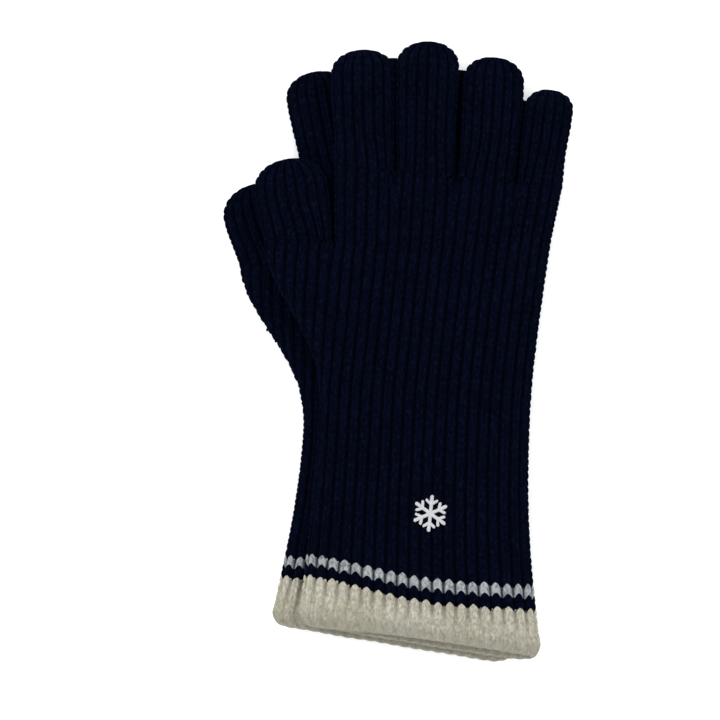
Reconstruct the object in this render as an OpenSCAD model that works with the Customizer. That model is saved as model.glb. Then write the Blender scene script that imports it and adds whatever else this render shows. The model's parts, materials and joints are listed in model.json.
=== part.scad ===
// A pair of long-cuffed knitted gloves lying palm to palm on a flat surface.
//
// The right glove lies on top with its back up, and the left glove lies under it with its palm up,
// so both thumbs point to -X and all fingers point to +Y. Each glove is a set of knitted tubes:
// five finger tubes, the palm that joins four of them, the heel that also takes the thumb, the
// gauntlet, two contrast stripes and the pale hem, with an embroidered snowflake on the back.
//
// Glove frame: origin at the middle of the wrist crease, +Y to the fingertips, thumb at -X, and
// Z = 0 at mid thickness. Row frame: origin under the left heel, on the surface that the pair rests on.

/* [Fabric] */
// Thickness of the knitted wall
wall = 2.5; // [1.8:0.1:3.2]
// Overall thickness of one glove lying flat
glove_t = 10.5; // [9:0.5:14]
// Thickness of the wall in the denser hem
hem_wall = 2.7; // [2:0.1:3.6]

/* [Hand] */
// Width across the wrist crease
wrist_w = 85; // [74:1:100]
// Height of the thumb crotch above the wrist crease
thumb_y = 62.5; // [48:1:74]
// Height of the knuckle line above the wrist crease, in the middle
knuckle_y = 89; // [76:1:110]
// How far the row of fingers sits off centre, away from the thumb
finger_shift = 9.3; // [4:0.2:14]
// How much narrower the palm is at the thumb crotch than at the knuckles
palm_taper = 4.5; // [0:0.2:8]
// Slope of the knuckle line, down towards the little finger
knuckle_slope = 5.5; // [0:0.5:8]

/* [Fingers] */
// Index finger: width
index_w = 24.2; // [18:0.1:29]
// Index finger: length of the tube
index_len = 47; // [40:0.5:70]
// Index finger: lean towards the little finger
index_lean = -0.4; // [-4:0.1:1]
// Middle finger: width
middle_w = 23.8; // [18:0.1:29]
// Middle finger: length of the tube
middle_len = 52.7; // [44:0.5:76]
// Middle finger: lean
middle_lean = 0.9; // [0.3:0.1:2]
// Ring finger: width
ring_w = 23.2; // [18:0.1:28]
// Ring finger: length of the tube
ring_len = 48.8; // [40:0.5:70]
// Ring finger: lean
ring_lean = 4.6; // [2.5:0.1:5]
// Little finger: width
little_w = 18.6; // [14:0.1:23]
// Little finger: length of the tube
little_len = 38; // [32:0.5:56]
// Little finger: lean
little_lean = 7; // [5.2:0.1:12]
// Thumb: width at its root
thumb_w = 27.6; // [20:0.1:31]
// Thumb: length of the tube above the crotch
thumb_len = 32.5; // [28:0.5:50]
// Thumb: lean away from the fingers
thumb_lean = -7; // [-14:0.5:-3]
// Swell of the thumb towards its tip, as a share of its root width
thumb_swell = 1.08; // [1:0.01:1.1]
// Depth of a rounded fingertip as a share of half its width
tip_round = 0.66; // [0.4:0.02:1]
// Gap between neighbouring fingers
finger_gap = 0.5; // [0.4:0.05:1.5]
// How much further the left index finger leans out
left_index_splay = 6; // [0:0.5:8]
// How much further the left thumb leans out
left_thumb_splay = 4; // [0:0.5:8]

/* [Cuff] */
// Length of the gauntlet of the upper, right glove
gauntlet_len = 71; // [50:1:110]
// How much shorter the left gauntlet lies, because it is bunched
left_bunching = 5.5; // [0:1:14]
// Height of the pale stripe
light_stripe_h = 4.8; // [3:0.1:12]
// Height of the navy stripe
navy_stripe_h = 4.2; // [3:0.1:12]
// Height of the pale hem
hem_h = 15; // [9:0.5:30]
// Width of the hem
hem_w = 97; // [84:1:118]
// Slope of the right hem, down towards the little finger's side
right_hem_slope = 8; // [0:0.5:14]
// Slope of the left hem
left_hem_slope = 11.5; // [0:0.5:14]
// Sideways swing of the right cuff at the hem
right_swing = -2; // [-10:0.2:10]
// Sideways swing of the left cuff at the hem
left_swing = -12; // [-12:0.5:10]
// How far the palm-side lip of the hem reaches past the back one
lip_reach = 3; // [0:0.5:5]
// How much the gauntlet's outer side is drawn in, half way down
gauntlet_waist = 2.3; // [0:0.2:5]

/* [Emblem] */
// Size of the embroidered snowflake from tip to tip
flake_d = 15; // [9:0.5:20]
// Width of one satin-stitched bar
bar_w = 1.5; // [1:0.1:2.4]
// Depth that the embroidery sinks into the knit
flake_t = 1; // [0.6:0.1:1.3]
// Distance from the wrist crease to the snowflake's centre
flake_drop = 46; // [14:1:58]
// Distance from the middle of the cuff to the snowflake's centre
flake_side = 2.6; // [-20:0.2:20]

/* [Lay] */
// Turn of the left glove under the right one
left_turn = 3.5; // [0:0.5:8]
// The right wrist's place from the left wrist, across
stack_dx = 6.5; // [-10:0.2:12]
// The right wrist's place from the left wrist, along
stack_dy = 5.7; // [-10:0.2:12]
// Clearance between the two gloves
stack_gap = 0.3; // [0.3:0.05:1]
// Clearance at every crease where a piece folds
fold_gap = 0.4; // [0.3:0.05:1]
// The rest point on the left heel, from the left wrist crease, across
rest_x = -3; // [-10:1:10]
// The rest point on the left heel, from the left wrist crease, along
rest_y = 30; // [20:1:45]

/* [Hidden] */

navy = [0.03, 0.04, 0.12];
pale_grey = [0.72, 0.73, 0.74];
cream = [0.86, 0.84, 0.76];
thread_white = [0.9, 0.9, 0.9];

half_t = glove_t / 2;
arc_points = 7;            // points on each rounded side of a tube
ring_n = 2 * arc_points;
corner_inset = 2;          // how much the hem's outer corners are rounded off
corner_h = 3;              // over this height
turn_in = 12;              // a finger's rings turn square to it over this length
body_rings = 7;            // rings along a plain stretch
flare_power = 1.4;         // how late the cuff opens out
knuckle_w = index_w + middle_w + ring_w + little_w + 3 * finger_gap;
knuckle_left = finger_shift - knuckle_w / 2;
knuckle_right = knuckle_left + knuckle_w;
heel_right = knuckle_right - palm_taper;
thumb_right = knuckle_left - finger_gap;
thumb_left = thumb_right - thumb_w;
index_left = knuckle_left;
middle_left = index_left + index_w + finger_gap;
ring_left = middle_left + middle_w + finger_gap;
little_left = ring_left + ring_w + finger_gap;

function smooth(t) = let (c = min(1, max(0, t))) c * c * (3 - 2 * c);
function lerp(a, b, t) = a + (b - a) * t;
function knuckle_at(x) = knuckle_y - tan(knuckle_slope) * x;

// A station is [left point, right point, half thickness, reach of the lower lip].
// Its ring is a flattened circle whose rounded sides touch the two points.
function ring(st, inset) =
    let (l = st[0], r = st[1], d = r - l, w = norm(d), u = d / w, mid = (l + r) / 2)
    let (h = max(0.3, st[2] - inset), flat = max(0.05, w / 2 - inset - h))
    [for (side = [1, -1], k = [0:arc_points - 1])
        let (a = 180 * k / (arc_points - 1) - 90)
        let (x = side * (flat + h * cos(a)), z = side * h * sin(a))
        let (slip = st[3] * (st[2] - z) / (2 * st[2]))
        [mid[0] + u[0] * x, mid[1] + u[1] * x - slip, z]];

function strip(a, b, turned) =
    [for (i = [0:ring_n - 1]) let (j = (i + 1) % ring_n)
        turned ? [a + i, b + i, b + j, a + j] : [a + i, a + j, b + j, b + i]];

// A hollow tube through the outer stations and the inner ones. Its first end is open;
// its last end is open too, or closed as a fingertip.
module knit_tube(outer, inner, thick, closed = false) {
    rings = concat([for (s = outer) ring(s, 0)], [for (s = inner) ring(s, thick)]);
    points = [for (r = rings) each r];
    last_outer = (len(outer) - 1) * ring_n;
    first_inner = len(outer) * ring_n;
    last_inner = (len(rings) - 1) * ring_n;
    skin = [for (k = [0:len(outer) - 2]) each strip(k * ring_n, (k + 1) * ring_n, false)];
    lining = [for (k = [len(outer):len(rings) - 2]) each strip(k * ring_n, (k + 1) * ring_n, true)];
    mouth = strip(0, first_inner, true);
    end_wall = closed
        ? [[for (i = [0:ring_n - 1]) last_outer + i],
           [for (i = [ring_n - 1:-1:0]) last_inner + i]]
        : strip(last_outer, last_inner, false);
    polyhedron(points, concat(skin, lining, mouth, end_wall), convexity = 6);
}

// A straight-through tube whose inner stations are its outer ones.
module sleeve(stations, thick = wall) {
    knit_tube(stations, stations, thick);
}

// Stations of a finger: left edge of its root, width, length, lean, swell and root line.
function finger_stations(x0, w, length, lean, swell, y_left, y_right, trim) =
    let (mid = [x0 + w / 2, (y_left + y_right) / 2 + fold_gap])
    let (root_turn = atan2(y_right - y_left, w), axis = [sin(lean), cos(lean)])
    let (tip = w / 2 * swell * tip_round, straight = length - tip)
    let (body = [for (i = [0:4]) let (s = (straight - trim) * i / 4) [s, 1, 1]])
    let (cap = [for (a = [18:18:72]) [straight - trim + tip * sin(a), cos(a), sqrt(cos(a))]])
    let (nose = [[length - trim, 0.12, 0.35]])
    [for (q = concat(body, cap, nose))
        let (turn = lerp(root_turn, -lean, smooth(q[0] / turn_in)), c = mid + axis * q[0])
        let (half = w / 2 * lerp(1, swell, smooth(q[0] / (0.6 * length))) * q[1])
        let (u = [cos(turn), sin(turn)])
        [c - u * max(half, half_t * q[2] + 0.1), c + u * max(half, half_t * q[2] + 0.1), half_t * q[2], 0]];

module finger(x0, w, length, lean, swell, y_left, y_right) {
    knit_tube(
        finger_stations(x0, w, length, lean, swell, y_left, y_right, 0),
        finger_stations(x0, w, length, lean, swell, y_left, y_right, wall),
        wall, closed = true);
}

module knuckle_finger(x0, w, length, lean) {
    finger(x0, w, length, lean, 1, knuckle_at(x0), knuckle_at(x0 + w));
}

module thumb(splay) {
    finger(thumb_left, thumb_w, thumb_len, thumb_lean - splay, thumb_swell, thumb_y, thumb_y);
}

// The four-finger part of the hand, from the thumb crotch to the knuckle line.
module palm() {
    sleeve([for (i = [0:body_rings]) let (t = i / body_rings)
        let (right = lerp(heel_right, knuckle_right, t))
        [[knuckle_left, lerp(thumb_y, knuckle_at(knuckle_left), t)],
         [right, lerp(thumb_y, knuckle_at(knuckle_right), t)], half_t, 0]]);
}

// The five-finger part of the hand, from the wrist crease to the thumb crotch.
module heel() {
    spread = -wrist_w / 2 - thumb_left;
    sleeve([for (i = [0:body_rings]) let (t = i / body_rings)
        let (y = lerp(fold_gap, thumb_y, t))
        [[-wrist_w / 2 - spread * pow(smooth(t), 1.2), y],
         [lerp(wrist_w / 2, heel_right, pow(t, 1.2)), y], half_t, 0]]);
}

// A cuff is [gauntlet length, sideways swing, hem slope].
function cuff_length(cuff) = cuff[0] + light_stripe_h + navy_stripe_h + hem_h;
function cuff_flare(d, cuff) = pow(d / cuff_length(cuff), flare_power);

// A ring of the cuff at depth d below the wrist crease.
function cuff_station(d, cuff, draw_in = 0, lip = 0) =
    let (t = d / cuff_length(cuff), flare = cuff_flare(d, cuff))
    let (drop = tan(cuff[2]) * hem_w / 2 * t)
    let (left = lerp(-wrist_w / 2, cuff[1] - hem_w / 2, flare))
    let (right = lerp(wrist_w / 2, cuff[1] + hem_w / 2, flare) - gauntlet_waist * sin(180 * t))
    [[left + draw_in, -d + drop], [right - draw_in, -d - drop], half_t, lip];

module cuff_band(top, height, cuff, rings) {
    sleeve([for (i = [0:rings]) cuff_station(top + height * (1 - i / rings), cuff)]);
}

module gauntlet(cuff) {
    difference() {
        cuff_band(0, cuff[0], cuff, body_rings);
        place_flake(cuff) snowflake(flake_t + 1);
    }
}

// The pale band at the mouth: its corners are rounded off and its palm-side lip reaches further.
module hem(cuff) {
    total = cuff_length(cuff);
    sleeve([
        cuff_station(total, cuff, corner_inset, lip_reach),
        cuff_station(total - corner_h, cuff, 0, lip_reach * (1 - corner_h / hem_h)),
        cuff_station(total - hem_h / 2, cuff, 0, lip_reach / 2),
        cuff_station(total - hem_h, cuff)
    ], hem_wall);
}

module place_flake(cuff) {
    middle = cuff[1] * cuff_flare(flake_drop, cuff);
    translate([middle + flake_side, -flake_drop, half_t - flake_t]) children();
}

// A six-armed snowflake of satin-stitched bars, each arm with one pair of side barbs.
module snowflake(height) {
    arm = flake_d / 2;
    barb = arm * 0.42;
    linear_extrude(height) for (a = [0:60:300]) rotate(a) {
        translate([-bar_w / 2, 0]) square([bar_w, arm]);
        for (s = [-1, 1]) translate([0, arm * 0.46]) rotate(-55 * s)
            translate([-bar_w / 2, 0]) square([bar_w, barb]);
    }
}

module emblem(cuff) {
    place_flake(cuff) snowflake(flake_t);
}

// The left glove is the right one's mirror image: turned palm up, it has the same outline.
module lay_left() {
    back = [rest_x * cos(left_turn) - rest_y * sin(left_turn),
            rest_x * sin(left_turn) + rest_y * cos(left_turn)];
    translate([-back[0], -back[1], half_t]) rotate(left_turn) mirror([0, 0, 1]) children();
}

module lay_right() {
    back = [rest_x * cos(left_turn) - rest_y * sin(left_turn),
            rest_x * sin(left_turn) + rest_y * cos(left_turn)];
    translate([stack_dx - back[0], stack_dy - back[1], glove_t + stack_gap + half_t]) children();
}

// A glove's own shape is [cuff, thumb splay, index splay].
module piece(name, shape) {
    cuff = shape[0];
    if (name == "thumb") color(navy) thumb(shape[1]);
    if (name == "index") color(navy) knuckle_finger(index_left, index_w, index_len, index_lean - shape[2]);
    if (name == "middle") color(navy) knuckle_finger(middle_left, middle_w, middle_len, middle_lean);
    if (name == "ring") color(navy) knuckle_finger(ring_left, ring_w, ring_len, ring_lean);
    if (name == "little") color(navy) knuckle_finger(little_left, little_w, little_len, little_lean);
    if (name == "palm") color(navy) palm();
    if (name == "heel") color(navy) heel();
    if (name == "gauntlet") color(navy) gauntlet(cuff);
    if (name == "light_stripe") color(pale_grey) cuff_band(cuff[0], light_stripe_h, cuff, 1);
    if (name == "navy_stripe") color(navy) cuff_band(cuff[0] + light_stripe_h, navy_stripe_h, cuff, 1);
    if (name == "hem") color(cream) hem(cuff);
    if (name == "emblem") color(thread_white) emblem(cuff);
}

module right(name) {
    lay_right() piece(name, [[gauntlet_len, right_swing, right_hem_slope], 0, 0]);
}

module left(name) {
    cuff = [gauntlet_len - left_bunching, left_swing, left_hem_slope];
    lay_left() piece(name, [cuff, left_thumb_splay, left_index_splay]);
}

right("thumb");  // right_thumb
right("index");  // right_index
right("middle");  // right_middle
right("ring");  // right_ring
right("little");  // right_little
right("palm");  // right_palm
right("heel");  // right_heel
right("gauntlet");  // right_gauntlet
right("light_stripe");  // right_light_stripe
right("navy_stripe");  // right_navy_stripe
right("hem");  // right_hem
right("emblem");  // right_emblem
left("thumb");  // left_thumb
left("index");  // left_index
left("middle");  // left_middle
left("ring");  // left_ring
left("little");  // left_little
left("palm");  // left_palm
left("heel");  // left_heel
left("gauntlet");  // left_gauntlet
left("light_stripe");  // left_light_stripe
left("navy_stripe");  // left_navy_stripe
left("hem");  // left_hem
left("emblem");  // left_emblem
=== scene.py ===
import json
import math

import bpy
import numpy as np
from mathutils import Matrix, Vector
from mathutils.bvhtree import BVHTree
from mathutils.geometry import convex_hull_2d


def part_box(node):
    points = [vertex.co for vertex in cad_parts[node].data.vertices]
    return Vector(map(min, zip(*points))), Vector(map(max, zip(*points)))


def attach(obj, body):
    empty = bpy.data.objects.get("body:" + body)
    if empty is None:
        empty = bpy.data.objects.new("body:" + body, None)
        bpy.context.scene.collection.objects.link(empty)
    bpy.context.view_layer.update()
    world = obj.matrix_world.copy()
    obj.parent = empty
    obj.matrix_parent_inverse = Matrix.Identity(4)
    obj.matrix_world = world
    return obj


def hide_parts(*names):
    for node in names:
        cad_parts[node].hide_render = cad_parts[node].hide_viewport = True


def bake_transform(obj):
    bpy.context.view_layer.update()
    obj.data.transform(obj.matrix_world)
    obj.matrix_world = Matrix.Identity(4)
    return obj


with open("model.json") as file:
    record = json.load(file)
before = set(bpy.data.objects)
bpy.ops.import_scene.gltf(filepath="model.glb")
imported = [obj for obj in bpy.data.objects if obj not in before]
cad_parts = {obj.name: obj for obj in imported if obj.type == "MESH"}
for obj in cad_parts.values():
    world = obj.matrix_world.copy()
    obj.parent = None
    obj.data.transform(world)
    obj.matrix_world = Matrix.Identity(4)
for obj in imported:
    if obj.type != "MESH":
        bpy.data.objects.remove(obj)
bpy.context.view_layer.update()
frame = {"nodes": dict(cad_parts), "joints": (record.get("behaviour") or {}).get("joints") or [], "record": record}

bl_info = {
    "name": "Knitted gloves",
    "version": (1, 0, 0),
    "blender": (4, 5, 0),
    "location": "View3D > Sidebar > Gloves",
    "description": "Knits a pair of long-cuffed rib gloves over their frame",
    "category": "Object",
}

MM = 0.001
SIDES = ("left", "right")  # the left glove lies below, so it is knitted first
DIGITS = ("thumb", "index", "middle", "ring", "little")
CUFF = ("hem", "navy_stripe", "light_stripe", "gauntlet")
HAND_RIBS = 21  # ribs on one face of the hand
HEEL_COLUMNS = 300  # columns of vertices on a face of the heel, which gains ribs
EDGE = 0.5  # the rib number at a fold edge, so that a crest lies there
DIGIT_RIBS = {"thumb": 8, "index": 7, "middle": 7, "ring": 7, "little": 6}
COLUMNS = 10  # columns of vertices on one rib
ROWS = 6  # rows of vertices on one course of stitches
UV_SPAN = 64  # ribs, or courses, in one unit of the UV map

# Lengths in mm
HAND_ROUND = 8.5  # how far the hand's edges are rounded in
STRIPE_STEP = 0.9  # how far the light stripe gives way to the navy one
LIP = 3.0  # how far the palm-side lip of the mouth reaches further
TUCK_DEPTH = 0.3  # how deep under its neighbour a tucked end lies
HEEL_PITCH = 4.4  # width of a rib on the heel
SOFT_EDGE = (2.5, 12)  # where the hem's ribs start to rise, and over what length
ARCH_FOOT, ARCH_TOP, ARCH_FADE = 16, 90, 60  # where the stripes' arch is full, ends, and how it fades
TURNING = 6  # what the turn over a fold edge adds to a face's width, for the ribs' pitch
SETTLE = {"left": (0.35, 0.35, 11), "right": (0.21, 0.2, 12)}  # unevenness, sinking and seed
DIGIT_TURN = np.array([0.5, 13.0])  # from where to where past its root a digit meets its joint; the knit is not turned there
GAUNTLET_TURN = np.array([3.5, 20.0])  # from where to where before the wrist the gauntlet meets its joint; the knit is not turned there
ARM_THREAD, BARB_THREAD = (1.5, 0.75), (1.25, 0.62)  # width and height of the satin bars

# Shares
ANCHORS = np.array([0.3, 0.7])  # where across its root a digit takes up the hand's ribs
SWELL = 0.06  # how much fuller a finger is near its tip
TIP_SHARE = 0.86  # length of a digit's rounded tip in its half widths
MOUTH_FLAT, MOUTH_EDGE, MOUTH_WAVE = 0.66, 0.3, 0.06  # thickness of the mouth beside the sleeve
ARCH_SIDE, ARCH_ACROSS = 0.3, 0.55  # the arch away from the thumb, and how wide the thumb's is
WEAK_RIBS = 0.12  # the relief left at a hem's mouth or a digit's tip
TIP_ROUND = 2.2  # roundness of a tip in the plan
TIP_LOW, TIP_CROWN = 0.85, 2.3  # length of a tip over its height, and its roundness there


# ---- sizes and colours

class KnitSettings(bpy.types.PropertyGroup):
    """Sizes of the stitches."""
    course: bpy.props.FloatProperty(
        name="Course height", description="Height of one row of stitches",
        default=2.7 * MM, min=1.5 * MM, max=5 * MM, unit="LENGTH", precision=5)
    relief: bpy.props.FloatProperty(
        name="Rib depth", description="Depth of the valley between two ribs",
        default=1.5 * MM, min=0.3 * MM, max=2 * MM, unit="LENGTH", precision=5)
    slant: bpy.props.FloatProperty(
        name="Stitch slant", description="Rise of a stitch's leg for each unit it runs sideways",
        default=1.15, min=0.2, max=2.0)
    wall: bpy.props.FloatProperty(
        name="Fabric thickness", description="Thickness of one layer of the knit",
        default=2.3 * MM, min=1 * MM, max=3 * MM, unit="LENGTH", precision=5)
    groove: bpy.props.FloatProperty(
        name="Groove length", description="How far the grooves between the fingers run into the hand",
        default=17 * MM, min=4 * MM, max=40 * MM, unit="LENGTH", precision=5)
    arch: bpy.props.FloatProperty(
        name="Stripe arch", description="How far the stripes climb towards the thumb's side",
        default=4.4 * MM, min=0.0, max=8 * MM, unit="LENGTH", precision=5)
    droop: bpy.props.FloatProperty(
        name="Droop", description="How far the upper glove may sink beside the lower one",
        default=4.0 * MM, min=0.0, max=8 * MM, unit="LENGTH", precision=5)


class YarnColours(bpy.types.PropertyGroup):
    """Colours of the yarns."""
    navy: bpy.props.FloatVectorProperty(
        name="Navy", description="Main yarn", subtype="COLOR", size=3, min=0, max=1,
        default=(0.0010, 0.0014, 0.0056))
    navy_sheen: bpy.props.FloatVectorProperty(
        name="Navy fibres", description="Stray fibres that catch the light", subtype="COLOR",
        size=3, min=0, max=1, default=(0.008, 0.018, 0.055))
    grey: bpy.props.FloatVectorProperty(
        name="Light grey", description="Stripe yarn", subtype="COLOR", size=3, min=0, max=1,
        default=(0.35, 0.365, 0.375))
    cream: bpy.props.FloatVectorProperty(
        name="Cream", description="Hem yarn", subtype="COLOR", size=3, min=0, max=1,
        default=(0.47, 0.447, 0.378))
    thread: bpy.props.FloatVectorProperty(
        name="Thread", description="Embroidery thread", subtype="COLOR", size=3, min=0, max=1,
        default=(0.50, 0.50, 0.51))


class StageSettings(bpy.types.PropertyGroup):
    """Floor, lights and camera."""
    floor: bpy.props.FloatVectorProperty(
        name="Floor", description="Colour of the floor", subtype="COLOR", size=3, min=0, max=1,
        default=(0.93, 0.93, 0.93))
    camera_height: bpy.props.FloatProperty(
        name="Camera height", description="Height of the camera over the floor",
        default=1.1, min=0.3, max=5, unit="LENGTH")
    frame_width: bpy.props.FloatProperty(
        name="Frame width", description="Width of the picture at the gloves",
        default=0.288, min=0.1, max=2, unit="LENGTH")
    centre: bpy.props.FloatVectorProperty(
        name="Centre", description="Where the camera looks", subtype="XYZ", size=3, unit="LENGTH",
        default=(-0.01467, -0.00926, 0.0))
    light: bpy.props.FloatProperty(
        name="Light", description="Strength of all the lights", default=1.0, min=0, max=10)


# ---- small tools

def smooth(t):
    """0 below 0, 1 above 1, and an even ease between."""
    t = np.clip(t, 0.0, 1.0)
    return t * t * (3 - 2 * t)


def unit(run):
    """The direction of a run."""
    return run / np.linalg.norm(run)


def waves(x, y, seed, scale, count=7):
    """A gentle, repeatable unevenness between about -1 and 1, of this wavelength."""
    rng = np.random.RandomState(seed)
    total = np.zeros(np.broadcast(x, y).shape)
    for _ in range(count):
        turn, phase, size = rng.uniform(0, 2 * math.pi, 2).tolist() + [rng.uniform(0.6, 1.7)]
        along = x * math.cos(turn) + y * math.sin(turn)
        total += np.sin(along * 2 * math.pi / (scale * size) + phase)
    return total / math.sqrt(count) / 1.2


def middle_points(node, near=5e-5):
    """A CAD tube's points at its mid thickness, in mm, and that height."""
    low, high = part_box(node)
    z = (low[2] + high[2]) / 2
    points = np.array([v.co for v in frame["nodes"][node].data.vertices])
    points = points[np.abs(points[:, 2] - z) < near] / MM
    return np.unique(np.round(points[:, :2], 2), axis=0), z / MM


def edges(points, along, level=1.2, inside=0.9):
    """The outer left and right edge of a tube that runs along a direction, each from its root.

    A point within a level of another, and this far inside it, is not on the edge.
    """
    along = unit(np.array(along))
    across = np.array([along[1], -along[0]])
    centre = points.mean(axis=0)
    v, c = (points - centre) @ along, (points - centre) @ across
    found = []
    for sign in (-1, 1):
        outer = [i for i in range(len(v)) if c[i] * sign > 0
                 and not ((np.abs(v - v[i]) < level) & (c * sign > c[i] * sign + inside)).any()]
        found.append(points[sorted(outer, key=lambda i: v[i])])
    return found


def outline(points):
    """The corners of a digit's plan, which has no hollows, in turn round it."""
    return points[convex_hull_2d(points.tolist())]


# ---- shapes of the tubes

def bulge(c, width, height, rounding, power=2.25):
    """Half thickness of a flattened tube at distance c from its left edge."""
    d = np.clip(np.minimum(c, width - c), 0, rounding) / rounding
    return height * np.maximum(1 - (1 - d) ** power, 0) ** (1 / power)


class Tube:
    """A stretch of a glove between two edges, with its stations from root to tip."""

    def __init__(self, left, right, z):
        self.left, self.right, self.z = left, right, z
        steps = np.linalg.norm(np.diff((left + right) / 2, axis=0), axis=1)
        self.m = np.concatenate([[0], np.cumsum(steps)])
        self.length = self.m[-1]

    def edge(self, side, m):
        """Points on an edge at the distances m, carried on straight past the ends."""
        points = getattr(self, side)
        low = (points[1] - points[0]) / (self.m[1] - self.m[0])
        high = (points[-1] - points[-2]) / (self.m[-1] - self.m[-2])
        return np.stack([np.interp(m, self.m, points[:, k]) + np.minimum(m, 0) * low[k]
                         + np.maximum(m - self.length, 0) * high[k] for k in (0, 1)], axis=-1)

    def width(self, m):
        return np.linalg.norm(self.edge("right", m) - self.edge("left", m), axis=-1)


def refine(tube, step=2.0):
    """The same tube with its edges smoothed by a cubic through the stations."""
    m = np.linspace(0, tube.length, max(2, int(tube.length / step)) + 1)
    i = np.clip(np.searchsorted(tube.m, m) - 1, 0, len(tube.m) - 2)
    h = (tube.m[i + 1] - tube.m[i])[:, None]
    t = (m - tube.m[i])[:, None] / h

    def cubic(points):
        slopes = np.gradient(points, tube.m, axis=0)
        return ((2 * t ** 3 - 3 * t ** 2 + 1) * points[i] + (t ** 3 - 2 * t ** 2 + t) * slopes[i] * h
                + (3 * t ** 2 - 2 * t ** 3) * points[i + 1] + (t ** 3 - t ** 2) * slopes[i + 1] * h)

    return Tube(cubic(tube.left), cubic(tube.right), tube.z)


def read_sleeve(side):
    """The tube from the hem up to the thumb's crotch, and where each node starts and ends on it."""
    lefts, rights, spans, z = [], [], {}, 0
    for name in CUFF + ("heel",):
        points, z = middle_points(f"{side}_{name}")
        left, right = edges(points, AXIS[side])
        if lefts:
            left, right = left[1:], right[1:]
        first = max(0, len(lefts) - 1)
        lefts += list(left)
        rights += list(right)
        spans[name] = (first, len(lefts) - 1)
    tube = Tube(np.array(lefts), np.array(rights), z)
    stops = {name: (tube.m[a], tube.m[b]) for name, (a, b) in spans.items()}
    return refine(tube), stops


def read_digit(side, name, near=0.15, blunt=1.2):
    """A finger or thumb: its root, its axis, and how far it reaches to each side along it.

    Corners near the root's line belong to the root; those within blunt of the farthest, to the tip.
    """
    ring = outline(middle_points(f"{side}_{name}")[0])
    step = np.roll(ring, -1, axis=0) - ring
    edge = int(np.argmax(step @ np.array([AXIS[side][1], -AXIS[side][0]])))
    run = unit(step[edge])
    rooted = np.abs((ring - ring[edge]) @ np.array([run[1], -run[0]])) < near
    reach = np.where(rooted, (ring - ring[edge]) @ run, np.nan)
    ends = int(np.nanargmin(reach)), int(np.nanargmax(reach))
    root_left, root_right = ring[ends[0]], ring[ends[1]]
    rooted[list(ends)] = False
    ring = ring[~rooted]
    first = int(np.argmin(np.linalg.norm(ring - root_right, axis=1)))
    root = (root_left + root_right) / 2
    far = np.linalg.norm(ring - root, axis=1)
    axis = unit(ring[far > far.max() - blunt].mean(axis=0) - root)
    across = np.array([axis[1], -axis[0]])
    ring = np.roll(ring, -first, axis=0)
    v, c = (ring - root) @ axis, (ring - root) @ across
    top = int(np.argmax(v))
    stations = np.linspace(-0.1, 0.8, 46) * v[top]
    reach = {"right": np.interp(stations, v[:top + 1], c[:top + 1]),
             "left": np.interp(stations, v[:top - 1:-1], c[:top - 1:-1])}
    return {"root_left": root_left, "root_right": root_right, "root": root, "axis": axis,
            "across": across, "length": v[top], "stations": stations, "reach": reach,
            "ribs": DIGIT_RIBS[name]}


def hand_axis(side):
    """The direction in the plan from the middle of the wrist to the middle of the palm."""
    heel, palm = (middle_points(f"{side}_{name}")[0] for name in ("heel", "palm"))
    wrist = heel[np.argsort(heel[:, 1])[:4]].mean(axis=0)
    return unit(palm.mean(axis=0) - wrist)


AXIS = {side: hand_axis(side) for side in SIDES}
HALF = np.ptp([corner[2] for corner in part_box("left_heel")]) / 2 / MM  # half a glove's thickness


class Glove:
    """Everything that the pieces of one glove share."""

    def __init__(self, side):
        self.side = side
        self.sleeve, self.stops = read_sleeve(side)
        points, z = middle_points(f"{side}_palm")
        self.palm = refine(Tube(*edges(points, AXIS[side]), z))
        self.digits = {name: read_digit(side, name) for name in DIGITS}
        border = self.stops["light_stripe"][0] + STRIPE_STEP
        self.stops["navy_stripe"] = (self.stops["navy_stripe"][0], border)
        self.stops["light_stripe"] = (border, self.stops["light_stripe"][1])
        self.hem_length = self.stops["hem"][1]
        self.wrist, self.crotch = self.stops["heel"]
        self.knuckle_start, self.crotch_start = self.palm.left[-1], self.sleeve.left[-1]
        self.knuckle_dir = unit(self.palm.right[-1] - self.knuckle_start)
        self.crotch_dir = unit(self.sleeve.right[-1] - self.crotch_start)
        self.thumb_lobe = (0.0, self.along_crotch(self.digits["thumb"]["root_right"]))
        self.palm_lobe = tuple(map(self.along_crotch, (self.palm.left[0], self.sleeve.right[-1])))
        self.fingers = [[(self.digits[name][end] - self.knuckle_start) @ self.knuckle_dir
                         for end in ("root_left", "root_right")] for name in DIGITS[1:]]

    def along_crotch(self, point):
        """How far a plan point lies from the left end of the heel's top row."""
        return (point - self.crotch_start) @ self.crotch_dir


def arc(c, width, height, rounding):
    """Arc length over the top of a plain tube, from its left edge, at the sorted distances c."""
    z = bulge(c, width, height, rounding)
    return np.concatenate([[0], np.cumsum(np.hypot(np.diff(c), np.diff(z)))])


def stitch_drop(ribs, slant, pitch, reach=0.8, roundness=1.7, rise=0.25):
    """How far a stitch's leg hangs below its point: 0 in the middle of a rib."""
    x = np.abs(2 * (ribs - np.floor(ribs)) - 1)
    leg = np.minimum(x, reach) ** roundness * (1 - rise * smooth((x - reach) / (1 - reach)))
    return slant * leg * pitch / 2


def stitch_height(ribs, courses):
    """Height of the knitted surface, 0 in the deepest valley and 1 on the highest stitch."""
    crest, body, notch, ladder = 0.44, 0.62, 0.09, 0.15
    x = np.abs(2 * (ribs - np.floor(ribs)) - 1)
    q = np.abs(2 * (courses - np.floor(courses)) - 1)
    hump = 1 - smooth((x - crest) / (1 - crest))
    across = np.clip(1 - np.abs(2 * x / 0.74 - 1) ** 2.2, 0, 1)
    along = np.clip(1 - q ** 2.6, 0, 1)
    leg = (1 - body) * across ** 0.8 * (0.4 + 0.6 * along)
    return hump * (body + leg - notch * (1 - along)) + (1 - hump) * ladder * q ** 2


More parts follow.
